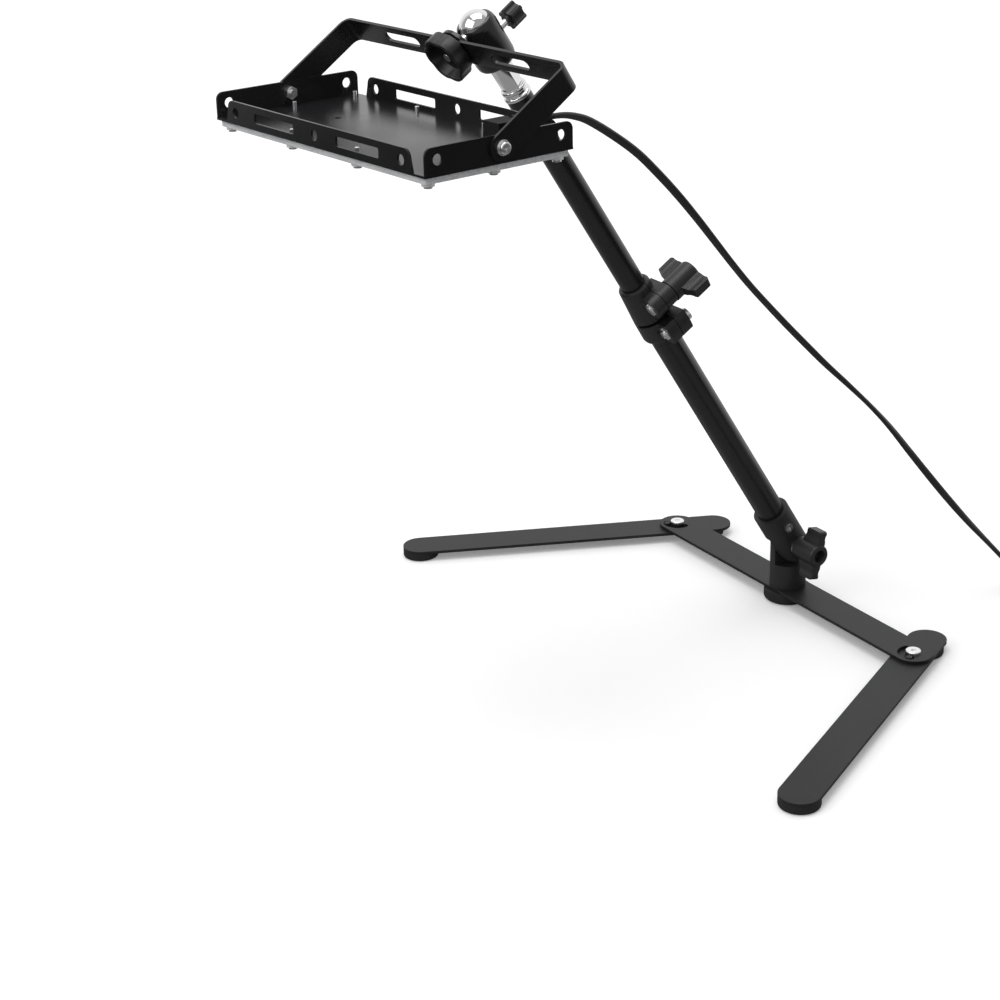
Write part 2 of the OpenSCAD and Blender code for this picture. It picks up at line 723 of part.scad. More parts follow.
// Strap bent from one strip: web across the stud, a leg down each end of the lamp
module strap() {
    bend = 3;
    leg_end = leg_len;
    color([0.08, 0.08, 0.09]) at_stem() difference() {
        union() {
            translate([0, -strap_w / 2, web_s]) rotate([-90, 0, 0]) linear_extrude(strap_w) strap_profile(bend);
            for (side = [-1, 1]) translate([side * (leg_x + strap_t / 2), 0, web_out + leg_end])
                rotate([0, 90, 0]) cylinder(d = strap_w, h = strap_t, center = true);
        }
        translate([0, 0, web_s - over]) cylinder(r = 3.1 + fit, h = strap_t + 2 * over);
        for (side = [-1, 1]) translate([side * web_slot_x, 0, web_s - over])
            long_slot(web_slot_l, web_slot_w, strap_t + 2 * over);
        translate([-strap_span, 0, web_out + leg_end]) rotate([0, 90, 0]) cylinder(r = side_bolt_r + fit, h = 2 * strap_span);
    }
}

side_bolt_r = 2.5;

// End view of the strap: X along the web, -Y down the legs
module strap_profile(bend) {
    long = leg_len + strap_t;
    half = strap_span / 2;
    for (side = [0, 1]) mirror([side, 0]) {
        translate([0, -strap_t]) square([half - bend, strap_t]);
        translate([half - strap_t, -long]) square([strap_t, long - bend]);
        translate([half - bend, -bend]) intersection() {
            difference() {
                circle(r = bend);
                circle(r = bend - strap_t);
            }
            square([bend, bend]);
        }
    }
}

// Pan head bolts through the legs and the short flanges
module side_bolts() {
    color([0.85, 0.85, 0.85]) at_lamp() for (side = [0, 1]) mirror([side, 0, 0])
        translate([strap_span / 2 + face_play + side_washer_t, 0, 0]) rotate([0, 90, 0]) {
            translate([0, 0, -side_bolt_l]) cylinder(r = side_bolt_r, h = side_bolt_l);
            difference() {
                rotate_extrude() {
                    square([2.9, 2.8]);
                    square([4, 1.7]);
                    translate([2.9, 1.7]) circle(r = 1.1);
                }
                translate([0, 0, 3]) cube([5, 1.1, 3.2], center = true);
                translate([0, 0, 3]) cube([1.1, 5, 3.2], center = true);
            }
        }
}

side_washer_t = 1;
side_nut_h = 4;
face_play = 0.05;
side_bolt_l = side_washer_t + face_play + strap_t + leg_play + sheet_t + side_nut_h + 2.3;

module side_washers() {
    color([0.85, 0.85, 0.85]) at_lamp() for (side = [0, 1]) mirror([side, 0, 0])
        translate([strap_span / 2 + face_play, 0, 0]) rotate([0, 90, 0]) difference() {
            cylinder(r = 5, h = side_washer_t);
            translate([0, 0, -over]) cylinder(r = side_bolt_r + fit, h = side_washer_t + 2 * over);
        }
}

module side_nuts() {
    color([0.8, 0.8, 0.8]) at_lamp() for (side = [0, 1]) mirror([side, 0, 0])
        translate([tray_l / 2 - sheet_t - side_nut_h, 0, 0]) rotate([0, 90, 0]) difference() {
            hex(8, side_nut_h);
            translate([0, 0, -over]) cylinder(r = side_bolt_r + fit, h = side_nut_h + 2 * over);
        }
}

// Flange outline with round upper corners and ends that lean in
module flange_outline(half, high, lean_in, corner) {
    top = half - lean_in;
    polygon([[-half, 0], [half, 0], [top, high - corner], [top - corner, high], [corner - top, high],
        [-top, high - corner]]);
    for (side = [-1, 1]) translate([side * (top - corner), high - corner]) circle(r = corner);
}

module flange_slot(from, to, high) {
    r = 1.2;
    low = high - slot_w / 2;
    translate([from + r, low]) square([to - from - 2 * r, slot_w]);
    translate([from, low + r]) square([to - from, slot_w - 2 * r]);
    for (x = [from + r, to - r]) for (y = [low + r, low + slot_w - r]) translate([x, y]) circle(r = r);
}

module long_flange() {
    linear_extrude(sheet_t) difference() {
        flange_outline(tray_l / 2 - flange_cut, long_flange_h, 2.6, 5.5);
        for (x = [-end_hole_x, 0, end_hole_x]) translate([x, long_hole_z]) circle(d = hole_d);
        flange_slot(slot_near, slot_far, long_hole_z);
        flange_slot(-slot_far, -slot_near, long_hole_z);
    }
}

module short_flange() {
    linear_extrude(sheet_t) difference() {
        flange_outline(tray_w / 2 - 0.2, flange_h, 0, 5);
        for (side = [-1, 1]) translate([side * end_hole_y, short_hole_z]) circle(d = hole_d);
        translate([0, side_bolt_z]) circle(r = side_bolt_r + fit);
    }
}

// Places of the ten screws that hold the lens plate under the tray
screw_in = 5;
screw_tail = 4.6;
screw_x = lens_l / 2 - screw_in;
screw_y = lens_w / 2 - screw_in;
screw_places = concat([for (i = [-1.5, -0.5, 0.5, 1.5]) for (side = [-1, 1]) [i * screw_x / 1.5, side * screw_y]],
                      [for (side = [-1, 1]) [side * screw_x, 0]]);
gland_in = 18.35;
gland_x = tray_l / 2 - gland_in;
gland_y = 16;

// Tray folded from one sheet, open at the top
module tray() {
    color([0.09, 0.09, 0.1]) at_lamp() translate([0, 0, tray_z]) difference() {
        union() {
            translate([-tray_l / 2, -tray_w / 2, 0]) cube([tray_l, tray_w, sheet_t]);
            for (side = [0, 1]) mirror([0, side, 0]) translate([0, -tray_w / 2 + sheet_t, 0]) rotate([90, 0, 0]) long_flange();
            for (side = [0, 1]) mirror([side, 0, 0]) translate([tray_l / 2 - sheet_t, 0, 0]) rotate([90, 0, 90]) short_flange();
        }
        for (p = screw_places) translate([p[0], p[1], -over]) cylinder(r = 1.5 + fit, h = sheet_t + 2 * over);
        translate([gland_x, gland_y, -over]) cylinder(r = 4, h = sheet_t + 2 * over);
        for (side = [-1, 1]) translate([side * web_slot_x, 0, sheet_t - 1]) cylinder(r = 2.2, h = 1 + over);
    }
}

module led_board() {
    color([0.9, 0.9, 0.86]) at_lamp() translate([0, 0, tray_z - board_t]) difference() {
        translate([-board_l / 2, -board_w / 2, 0]) cube([board_l, board_w, board_t]);
        translate([gland_x, gland_y, -over]) cylinder(r = 3, h = board_t + 2 * over);
    }
}

board_l = lens_l - 24;
board_w = lens_w - 24;
led_pitch_x = (board_l - 30) / (led_cols - 1);
led_pitch_y = (board_w - 16) / (led_rows - 1);

module leds() {
    color([0.95, 0.9, 0.6]) at_lamp() translate([0, 0, tray_z - board_t - 0.7])
        for (i = [0 : led_cols - 1]) for (j = [0 : led_rows - 1])
            translate([(i - (led_cols - 1) / 2) * led_pitch_x - 1.75, (j - (led_rows - 1) / 2) * led_pitch_y - 1.75, 0])
                cube([3.5, 3.5, 0.7]);
}

rim_w = 3;
led_room = 0.5;

// Rubber frame inside the rim of the lens plate, round the board
module gasket() {
    color([0.12, 0.12, 0.12]) at_lamp() translate([0, 0, tray_z - gasket_t]) difference() {
        translate([rim_w + fit - lens_l / 2, rim_w + fit - lens_w / 2, 0])
            cube([lens_l - 2 * (rim_w + fit), lens_w - 2 * (rim_w + fit), gasket_t]);
        translate([-board_l / 2 - led_room, -board_w / 2 - led_room, -over])
            cube([board_l + 2 * led_room, board_w + 2 * led_room, gasket_t + 2 * over]);
        for (p = screw_places) translate([p[0], p[1], -over]) cylinder(r = lens_boss_r + fit, h = gasket_t + 2 * over);
    }
}

lens_boss_r = 4.2;
lens_boss_h = 2;

// Clear plate with a rim up to the tray and a round boss about each screw
module lens_plate() {
    color([0.85, 0.9, 0.92, 0.4]) at_lamp() translate([0, 0, tray_z - gasket_t - lens_t]) difference() {
        union() {
            difference() {
                translate([-lens_l / 2, -lens_w / 2, 0]) cube([lens_l, lens_w, lens_t + gasket_t]);
                translate([rim_w - lens_l / 2, rim_w - lens_w / 2, lens_t])
                    cube([lens_l - 2 * rim_w, lens_w - 2 * rim_w, gasket_t + over]);
            }
            for (p = screw_places) translate([p[0], p[1], -lens_boss_h])
                cylinder(r = lens_boss_r, h = lens_boss_h + lens_t + gasket_t);
        }
        for (p = screw_places) translate([p[0], p[1], -lens_boss_h - over])
            cylinder(r = 1.5 + fit, h = lens_boss_h + lens_t + gasket_t + 2 * over);
    }
}

module lens_screws() {
    low = tray_z - gasket_t - lens_t - lens_boss_h;
    color([0.85, 0.85, 0.85]) at_lamp() for (p = screw_places) translate([p[0], p[1], low]) {
        cylinder(r = 1.5, h = tray_z + sheet_t + screw_tail - low);
        translate([0, 0, -1.4]) cylinder(r = 2.9, h = 1.4);
    }
}

// Moulded cable gland on the tray floor, with its outlet towards the back
gland_h = 18;
gland_out_y = 30;
relief_l = 24;

module cable_gland() {
    color([0.1, 0.1, 0.1]) at_lamp() {
        translate([gland_x - 8, gland_y - 9, tray_z + sheet_t]) cube([16, 18, gland_h + 4 - sheet_t]);
        translate([gland_x, gland_y, tray_z]) cylinder(r = 4 - fit, h = sheet_t + 1);
        translate([gland_x, gland_y + 8, tray_z + gland_h]) rotate([-90, 0, 0]) cylinder(r = 5.4, h = gland_out_y - gland_y - 8);
    }
}

module strain_relief() {
    color([0.09, 0.09, 0.09]) at_lamp() translate([gland_x, gland_out_y, tray_z + gland_h]) rotate([-90, 0, 0])
        cylinder(r1 = 4.4, r2 = cord_d / 2 + 0.5, h = relief_l);
}

// Route of the cord from the strain relief to the floor and on to its coil
cord_points = [[101.4, -287.93, 456.5], [101.08, -284.95, 456.44], [99.4, -276, 455.4], [96.5, -265, 452.3],
               [92.9, -252, 446.6], [87, -230, 433], [83, -208, 417], [79, -188, 399], [76, -169, 380], [74, -151, 360],
               [72, -133, 339], [70, -115, 318], [68, -96, 297], [66, -66, 266], [65, -45, 245],
               [65, -24, 224], [66, -2, 203], [68, 19, 182], [70, 38, 161], [73, 56, 138],
               [76, 74, 115], [80, 92, 92], [84, 111, 69], [89, 130, 47], [92, 146, 29],
               [93.5, 158, 15.5], [94, 170, 6], [94, 184, 2.6]];
cord_sides = 8;

// Unit vector along a
function unit(a) = a / norm(a);
// Direction of the route at point i
function heading(p, i) = unit(p[min(i + 1, len(p) - 1)] - p[max(i - 1, 0)]);
// Ring of points round p[i], square to the route
function ring(p, i, r, n) = let (h = heading(p, i), a = unit(cross([0, 0, 1], h)), b = cross(h, a))
    [for (k = [0 : n - 1]) p[i] + r * cos(360 * k / n) * a + r * sin(360 * k / n) * b];

// Plain tube swept along a list of points
module swept_tube(p, r, n) {
    rings = len(p);
    points = [for (i = [0 : rings - 1]) each ring(p, i, r, n)];
    sides = [for (i = [0 : rings - 2]) for (k = [0 : n - 1])
        [i * n + k, i * n + (k + 1) % n, (i + 1) * n + (k + 1) % n, (i + 1) * n + k]];
    start = [for (k = [0 : n - 1]) n - 1 - k];
    end = [for (k = [0 : n - 1]) (rings - 1) * n + k];
    polyhedron(points = points, faces = concat(sides, [start, end]), convexity = 4);
}

module cord() {
    color([0.05, 0.05, 0.05]) swept_tube(cord_points, cord_d / 2, cord_sides);
}

coil_x = 94 + coil_r;
coil_y = 203;
coil_half = coil_wide * cord_d / 2;

module cord_coil() {
    color([0.05, 0.05, 0.05]) translate([coil_x, coil_y, 0]) rotate_extrude()
        translate([coil_r - coil_half, 0]) square([2 * coil_half, coil_high * cord_d]);
}

// Free end of the cord, from the top of the coil down into the plug
tail_y = coil_y + coil_r;
plug_x = coil_x + 48;
plug_z = 7.5;
tail_points = [[coil_x + 2, tail_y, coil_high * cord_d - cord_d / 2], [coil_x + 12, tail_y, 17],
               [coil_x + 23, tail_y, 13], [coil_x + 35, tail_y, 9], [plug_x - 4, tail_y, plug_z + 0.2],
               [plug_x, tail_y, plug_z]];

module cord_tail() {
    color([0.05, 0.05, 0.05]) swept_tube(tail_points, cord_d / 2, cord_sides);
}

// Moulded plug that lies on its side, its neck towards the coil
module plug() {
    color([0.06, 0.06, 0.06]) translate([plug_x, tail_y, plug_z]) difference() {
        union() {
            rotate([0, 90, 0]) cylinder(r1 = cord_d / 2 + 0.8, r2 = 5, h = 14);
            translate([12, 0, -plug_z]) linear_extrude(2 * plug_z) {
                polygon([[0, -6], [4, -9.5], [19, -11], [22, -11], [22, 11], [19, 11], [4, 9.5], [0, 6]]);
            }
        }
        for (i = [0 : 3]) for (side = [-1, 1])
            translate([19 + 3.2 * i - 0.8, side * 12.4 - 1.6, -plug_z - over]) cube([1.4, 3.2, 2 * plug_z + 2 * over]);
    }
}

module plug_pins() {
    color([0.8, 0.75, 0.6]) translate([plug_x + 34, tail_y, plug_z])
        for (side = [-1, 1]) translate([0, side * 6.35 - 0.75, -3.2]) cube([16, 1.5, 6.4]);
}

crossbar();
left_arm();
right_arm();
left_arm_feet();
right_arm_feet();
left_stop_pin();
right_stop_pin();
pivot_screws();
pivot_nuts();
centre_foot();
boss();
boss_screw();
tilt_bolt();
tilt_washer();
tilt_knob();
tube_socket();
socket_screw();
lower_tube();
collar();
collar_screw();
collar_screw_nut();
collar_bolt();
collar_bolt_nut();
collar_knob();
upper_tube();
guide_bush();
spigot();
ball_housing();
pressure_pad();
lock_screw();
lock_knob();
ball_stem();
platform_disc();
strap();
thumb_wheel();
side_bolts();
side_washers();
side_nuts();
tray();
led_board();
leds();
gasket();
lens_plate();
lens_screws();
cable_gland();
strain_relief();
cord();
cord_coil();
cord_tail();
plug();
plug_pins();
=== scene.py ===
import json
import math

import bmesh
import bpy
import numpy as np
from mathutils import Matrix, Vector


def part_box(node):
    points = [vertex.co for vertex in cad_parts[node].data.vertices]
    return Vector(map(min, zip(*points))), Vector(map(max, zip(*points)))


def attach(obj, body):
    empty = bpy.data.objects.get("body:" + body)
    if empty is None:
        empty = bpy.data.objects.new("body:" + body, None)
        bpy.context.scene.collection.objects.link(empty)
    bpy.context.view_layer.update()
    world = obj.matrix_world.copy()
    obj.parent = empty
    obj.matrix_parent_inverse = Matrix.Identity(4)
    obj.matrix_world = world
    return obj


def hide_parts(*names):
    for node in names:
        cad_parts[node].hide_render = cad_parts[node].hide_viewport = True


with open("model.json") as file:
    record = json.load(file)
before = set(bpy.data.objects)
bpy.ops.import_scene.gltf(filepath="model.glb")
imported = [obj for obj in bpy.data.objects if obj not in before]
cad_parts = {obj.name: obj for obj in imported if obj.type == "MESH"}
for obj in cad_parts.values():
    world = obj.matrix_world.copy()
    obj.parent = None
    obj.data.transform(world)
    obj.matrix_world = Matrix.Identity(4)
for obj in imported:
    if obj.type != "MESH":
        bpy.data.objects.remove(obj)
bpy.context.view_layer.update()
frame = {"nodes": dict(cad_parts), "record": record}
nodes = frame["nodes"]
record = frame["record"]
body_of_node = {node: body for body, members in record["behaviour"]["bodies"].items() for node in members}
slot_of_node = {part["node"]: part["material_slot"] for part in record["subparts"]}

# Camera: a short telephoto lens a little under 0.8 m above the table, to the right of the stand.
camera_place = Vector((1.21662, -1.02242, 0.77647))
camera_azimuth = math.radians(58.296)
camera_elevation = math.radians(23.503)
camera_roll = math.radians(-1.788)
camera = bpy.data.objects.new("camera", bpy.data.cameras.new("camera"))
camera.data.lens = 77.7
camera.data.sensor_width = 36
camera.data.clip_end = 20
camera.matrix_world = (
    Matrix.Translation(camera_place)
    @ Matrix.Rotation(camera_azimuth, 4, "Z")
    @ Matrix.Rotation(math.pi / 2 - camera_elevation, 4, "X")
    @ Matrix.Rotation(camera_roll, 4, "Z")
)
bpy.context.collection.objects.link(camera)
bpy.context.scene.camera = camera
bpy.context.scene.view_settings.view_transform = "Standard"


class Field:
    """A node socket that can be added and multiplied like a number."""

    def __init__(self, tree, socket):
        self.tree, self.socket = tree, socket

    def node(self, kind, settings=None, output=0, **inputs):
        """Makes a node, sets its settings and then its sockets, and returns one output. An input
        named i and a number is the socket of that number."""
        made = self.tree.nodes.new(kind)
        for name, value in (settings or {}).items():
            setattr(made, name, value)
        for name, value in inputs.items():
            key = int(name[1:]) if name[0] == "i" and name[1:].isdigit() else name.replace("_", " ")
            if isinstance(value, Field):
                self.tree.links.new(value.socket, made.inputs[key])
            else:
                made.inputs[key].default_value = value
        return Field(self.tree, made.outputs[output])

    def maths(self, operation, other):
        return self.node("ShaderNodeMath", {"operation": operation}, i0=self, i1=other)

    def vector(self, operation, other, output="Vector"):
        return self.node("ShaderNodeVectorMath", {"operation": operation}, output, i0=self, i1=other)

    def __add__(self, other):
        return self.maths("ADD", other)

    def __mul__(self, other):
        return self.maths("MULTIPLY", other)

    def larger(self, other):
        return self.maths("MAXIMUM", other)

    def between(self, low, high):
        """low where this value is 0 and high where it is 1."""
        return self * (high - low) + low

    def above(self, low, high):
        """0 below low, 1 above high and a smooth step between them."""
        return self.node("ShaderNodeMapRange", {"interpolation_type": "SMOOTHSTEP"},
                         i0=self, i1=low, i2=high, i3=0.0, i4=1.0)

    def mix(self, start, end):
        """Colour that goes from start to end as this value goes from 0 to 1."""
        return self.node("ShaderNodeMix", {"data_type": "RGBA"}, 2, i0=self, i6=(*start, 1), i7=(*end, 1))

    def noise(self, scale, detail=3.0, roughness=0.55, stretch=None):
        """Noise over this position; stretch scales the position first."""
        place = self if stretch is None else self.vector("MULTIPLY", stretch)
        return place.node("ShaderNodeTexNoise", Vector=place, Scale=scale, Detail=detail,
                          Roughness=roughness)

    def bump(self, strength, distance):
        """Normal of a surface that this value raises by distance."""
        return self.node("ShaderNodeBump", Height=self, Strength=strength, Distance=distance)


def finish_of(name, **sockets):
    """A new material with constants on its shader, the shader, and the Object coordinates."""
    material = bpy.data.materials.new(name)
    material.use_nodes = True
    tree = material.node_tree
    shader = tree.nodes["Principled BSDF"]
    for key, value in sockets.items():
        shader.inputs[key.replace("_", " ")].default_value = value
    place = Field(tree, tree.nodes.new("ShaderNodeTexCoord").outputs["Object"])
    return material, shader, place


def connect(shader, **fields):
    """Links each Field to the shader's socket of that name."""
    for key, value in fields.items():
        value.tree.links.new(value.socket, shader.inputs[key.replace("_", " ")])


def seen_by(tree):
    """Fields for rays from the camera, off gloss and through glass."""
    path = tree.nodes.new("ShaderNodeLightPath")
    return [Field(tree, path.outputs[f"Is {kind} Ray"]) for kind in ("Camera", "Glossy", "Transmission")]


# White table top, just under the feet and wide enough that its edge never shows. Its lit middle is
# a real white board that gloss sees dimmer, and the dark studio floor round it shines just enough
# for the camera to see it white.
table_reach = 6
table_drop = 0.0003
board_middle = (0.02, -0.1, 0)
backdrop_side = (-0.766, 0.643, 0)
board_white = (0.93, 0.93, 0.93)
dark_studio = (0.04, 0.04, 0.04)
dimmer_in_gloss = 0.72
board_glow = 0.15
board_rim_glow = 0.2
studio_glow = 0.75
studio_glow_in_gloss = 0.8
table = bpy.data.objects.new("table_top", bpy.data.meshes.new("table_top"))
table_corners = [(x * table_reach, y * table_reach, -table_drop)
                 for x, y in ((-1, -1), (1, -1), (1, 1), (-1, 1))]
table.data.from_pydata(table_corners, [], [(0, 1, 2, 3)])
bpy.context.collection.objects.link(table)
table_finish, table_shader, place = finish_of("white_table", Roughness=0.9, Specular_IOR_Level=0.0,
                                              Emission_Color=(1, 1, 1, 1))
table.data.materials.append(table_finish)
camera_ray, glossy_ray, through_ray = seen_by(table_finish.node_tree)
from_middle = place.vector("DISTANCE", board_middle, "Value")
board_rim = from_middle.above(0.12, 0.5)
studio = from_middle.above(0.45, 0.85)
behind = place.vector("DOT_PRODUCT", backdrop_side, "Value").above(0.1, 0.7)
seen_glow = studio * studio_glow + board_rim * board_rim_glow + board_glow
connect(table_shader,
        Base_Color=studio.larger(glossy_ray * dimmer_in_gloss).mix(board_white, dark_studio),
        Emission_Strength=camera_ray.larger(through_ray) * seen_glow
        + glossy_ray * studio * behind * studio_glow_in_gloss)

# Sky: a white backdrop behind the object and a dim studio round the rest of it.
dim_side = 0.4
bright_back = 0.95
sky = bpy.data.worlds.new("sky")
bpy.context.scene.world = sky
sky.use_nodes = True
sky_light = sky.node_tree.nodes["Background"]
sky_light.inputs["Color"].default_value = (1, 1, 1, 1)
camera_ray, glossy_ray, through_ray = seen_by(sky.node_tree)
direction = Field(sky.node_tree, sky.node_tree.nodes.new("ShaderNodeTexCoord").outputs["Generated"])
facing_back = direction.vector("DOT_PRODUCT", backdrop_side, "Value").above(0.1, 0.6)
connect(sky_light,
        Strength=camera_ray.larger(through_ray).larger(facing_back.between(dim_side, bright_back)))


def soft_box(name, place, aim, size, radiance):
    """A rectangular area lamp at place that faces aim, with its size across and up."""
    lamp = bpy.data.objects.new(name, bpy.data.lights.new(name, "AREA"))
    lamp.data.shape = "RECTANGLE"
    lamp.data.size, lamp.data.size_y = size
    lamp.data.energy = radiance * math.pi * size[0] * size[1]
    lamp.location = place
    lamp.rotation_euler = (Vector(aim) - Vector(place)).to_track_quat("-Z", "Y").to_euler()
    bpy.context.collection.objects.link(lamp)


# Lamps: one large soft box overhead and one at the left, both aimed at the stand.
soft_box("overhead_box", (0.0, -0.35, 2.1), (0.05, -0.2, 0.25), (1.2, 1.5), 2.75)
soft_box("left_box", (0.05, -1.8, 1.35), (0, -0.1, 0.2), (1.7, 1.3), 1.8)

# Cord: flat twin flex, 5.8 by 3.8 mm, with a black sheath. It leaves the strain relief behind the
# tray, hangs down past the post to the table, and the rest of its 1.8 m lies in a coil.
cord_width = 0.0058
cord_thickness = 0.0038
cord_route = np.array([
    (101.4, -287.93, 456.5), (101.08, -284.95, 456.44), (99.4, -276, 455.4), (96.5, -265, 452.3),
    (92.9, -252, 446.6), (87, -230, 433), (83, -208, 417), (79, -188, 399), (76, -169, 380),
    (74, -151, 360), (72, -133, 339), (70, -115, 318), (68, -96, 297), (66, -66, 266), (65, -45, 245),
    (65, -24, 224), (66, -2, 203), (68, 19, 182), (70, 38, 161), (73, 56, 138), (76, 74, 115),
    (80, 92, 92), (84, 111, 69), (89, 130, 47), (92, 146, 29), (93.5, 158, 15.5), (94, 170, 6),
    (94, 184, 2.6)]) / 1000
tail_route = np.array([(126, 231, 17.3), (134, 231, 16.4), (145, 231, 13), (157, 231, 9.2),
                       (166, 231, 7.7), (171, 231, 7.5)]) / 1000
path_step = 0.002
coil_radius = 0.028
coil_turns = 6.25
points_per_turn = 72
turns_per_layer = 2
beside_last_turn = 0.0048
layer_rise = 0.0046
lowest_turn = 0.0026
coil_low, coil_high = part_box("cord_coil")
coil_middle = [(coil_low[0] + coil_high[0]) / 2, (coil_low[1] + coil_high[1]) / 2]


def smooth_path(points, step):
    """Cubic Hermite curve through the points, sampled about every step: between two points it is
    (2t^3 - 3t^2 + 1) p0 + (t^3 - 2t^2 + t) m0 + (3t^2 - 2t^3) p1 + (t^3 - t^2) m1."""
    slopes = np.gradient(points, axis=0)
    spans = np.linalg.norm(np.diff(points, axis=0), axis=1)
    parts = []
    for i, span in enumerate(spans):
        count = max(2, int(span / step))
        t = np.linspace(0, 1, count, endpoint=False)[:, None]
        start, end = points[i], points[i + 1]
        parts.append((2 * t**3 - 3 * t**2 + 1) * start + (t**3 - 2 * t**2 + t) * slopes[i]
                     + (3 * t**2 - 2 * t**3) * end + (t**3 - t**2) * slopes[i + 1])
    return np.vstack(parts + [points[-1:]])


def coil_path():
    """Turns side by side and then on each other, by the turns run so far: the radius steps across
    half way through each layer, the height steps up at its end, and the last quarter of a turn
    comes back to the middle radius."""
    turns = np.linspace(0, coil_turns, int(coil_turns * points_per_turn))
    angle = math.pi + turns * 2 * math.pi
    layer = np.floor(turns / turns_per_layer)
    in_layer = turns - layer * turns_per_layer
    across = np.clip((in_layer - 0.9) / 0.2, 0, 1)
    across = across * across * (3 - 2 * across)
    across = np.where(layer % 2 == 0, across, 1 - across)
    rise = np.clip((turns / turns_per_layer - layer - 0.95) / 0.05, 0, 1)
    free_end = np.clip((coil_turns - turns) / 0.25, 0, 1)
    radius = coil_radius + (across - 0.5) * beside_last_turn * free_end
    return np.stack([coil_middle[0] + radius * np.cos(angle),
                     coil_middle[1] - radius * np.sin(angle),
                     lowest_turn + layer_rise * (layer + rise)], axis=1)


def flex_twist(run, hanging_length):
    """Turn of the flat flex in radians at each length run: 0.24 at the strain relief, a wander of
    0.9 sin(9 run) + 0.5 sin(21 run) as it hangs, and none where it lies flat on the table."""
    lies_flat = np.clip((run - hanging_length + 0.12) / 0.1, 0, 1)
    near_exit = np.clip(1 - run / 0.12, 0, 1)
    return (1 - lies_flat) * (0.9 * np.sin(run * 9) + 0.5 * np.sin(run * 21)) + 0.24 * near_exit


def swept(path, outline, twist):
    """Vertices and faces of an outline carried along a path and turned by twist from level, with
    both ends closed. Outline points are (across, up)."""
    tangent = np.gradient(path, axis=0)
    tangent /= np.linalg.norm(tangent, axis=1)[:, None]
    across = np.cross(tangent, (0, 0, 1))
    across /= np.maximum(np.linalg.norm(across, axis=1), 1e-9)[:, None]
    up = np.cross(across, tangent)
    turned = across * np.cos(twist)[:, None] + up * np.sin(twist)[:, None]
    raised = up * np.cos(twist)[:, None] - across * np.sin(twist)[:, None]
    grid = (path[:, None] + outline[None, :, :1] * turned[:, None]
            + outline[None, :, 1:] * raised[:, None])
    rows, count = grid.shape[:2]
    index = np.arange(rows * count).reshape(rows, count)
    beside = np.roll(index, -1, axis=1)
    sides = np.stack([index[:-1], index[1:], beside[1:], beside[:-1]], axis=-1).reshape(-1, 4)
    return grid.reshape(-1, 3), [*sides.tolist(), index[0].tolist(), index[-1][::-1].tolist()]


def piece_from(name, points, faces, body, slot):
    """A smooth mesh object at the origin that rides on a body. Its slot is not used."""
    mesh = bpy.data.meshes.new(name)
    mesh.from_pydata(np.asarray(points).tolist(), [], faces)
    mesh.update()
    made = bpy.data.objects.new(name, mesh)
    bpy.context.collection.objects.link(made)
    mesh.shade_smooth()
    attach(made, body)
    return made


hanging = smooth_path(cord_route, path_step)
hanging_length = np.linalg.norm(np.diff(hanging, axis=0), axis=1).sum()
cord_path = smooth_path(np.vstack([hanging[::2], coil_path()[::2], tail_route]), path_step)
cord_run = np.concatenate([[0], np.cumsum(np.linalg.norm(np.diff(cord_path, axis=0), axis=1))])
around = np.linspace(0, 2 * math.pi, 24, endpoint=False)
flex_outline = np.stack([cord_width / 2 * np.sign(np.cos(around)) * np.abs(np.cos(around)) ** 0.8,
                         cord_thickness / 2 * np.sin(around)], axis=1)
flex_mesh = swept(cord_path, flex_outline, flex_twist(cord_run, hanging_length))
flex = piece_from("cord_flex", *flex_mesh, "base", "cord_rubber")
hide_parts("cord", "cord_coil", "cord_tail")
sheath, sheath_shader, place = finish_of("cord_sheath", Base_Color=(0.012, 0.012, 0.013, 1), IOR=1.5)
connect(sheath_shader,
        Roughness=place.noise(900, 2).between(0.36, 0.48),
        Normal=place.noise(700, 2).bump(0.12, 0.0002))
flex.data.materials.append(sheath)

# Rigid pieces: each is the CAD piece with its flat faces merged and its edges rounded.
same_point = 2e-6
same_plane = math.radians(0.3)
sharp_edge = math.radians(32)


def dressed(node, edge, material):
    """A copy of a CAD node with its edges rounded by edge, in one material, in the node's place."""
    mesh = nodes[node].data.copy()
    shape = bmesh.new()
    shape.from_mesh(mesh)
    bmesh.ops.remove_doubles(shape, verts=shape.verts, dist=same_point)
    bmesh.ops.dissolve_limit(shape, angle_limit=same_plane, verts=shape.verts, edges=shape.edges)
    shape.to_mesh(mesh)
    shape.free()
    made = bpy.data.objects.new(f"{node}_finished", mesh)
    bpy.context.collection.objects.link(made)
    mesh.shade_smooth()
    mesh.set_sharp_from_angle(angle=sharp_edge)
    if edge:
        rounding = made.modifiers.new("rounded_edges", "BEVEL")
        rounding.width = edge
        rounding.segments = 2
        rounding.limit_method = "ANGLE"
        rounding.angle_limit = sharp_edge
        rounding.harden_normals = True
        rounding.use_clamp_overlap = True
    mesh.materials.clear()
    mesh.materials.append(material)
    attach(made, body_of_node[node])
    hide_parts(node)
    return made


# Flat steel bars of the base: sheared and punched from 30 by 2.5 mm strip, tumbled so that their
# edges are soft, and powder coated satin black.
bar_coat, bar_shader, place = finish_of("bar_powder_coat", IOR=1.5, Specular_IOR_Level=0.34)
orange_peel = place.noise(650, 2, 0.5)
handling = place.noise(14, 5, 0.6)
connect(bar_shader,
        Base_Color=handling.above(0.35, 0.7).mix((0.010, 0.010, 0.011), (0.018, 0.018, 0.019)),
        Roughness=handling.between(0.34, 0.48) + orange_peel * 0.08,
        Normal=orange_peel.bump(0.22, 0.0002))
for bar in ("crossbar", "left_arm", "right_arm"):
    dressed(bar, 0.0004, bar_coat)
for pin in ("left_stop_pin", "right_stop_pin"):
    dressed(pin, 0.0003, bar_coat)

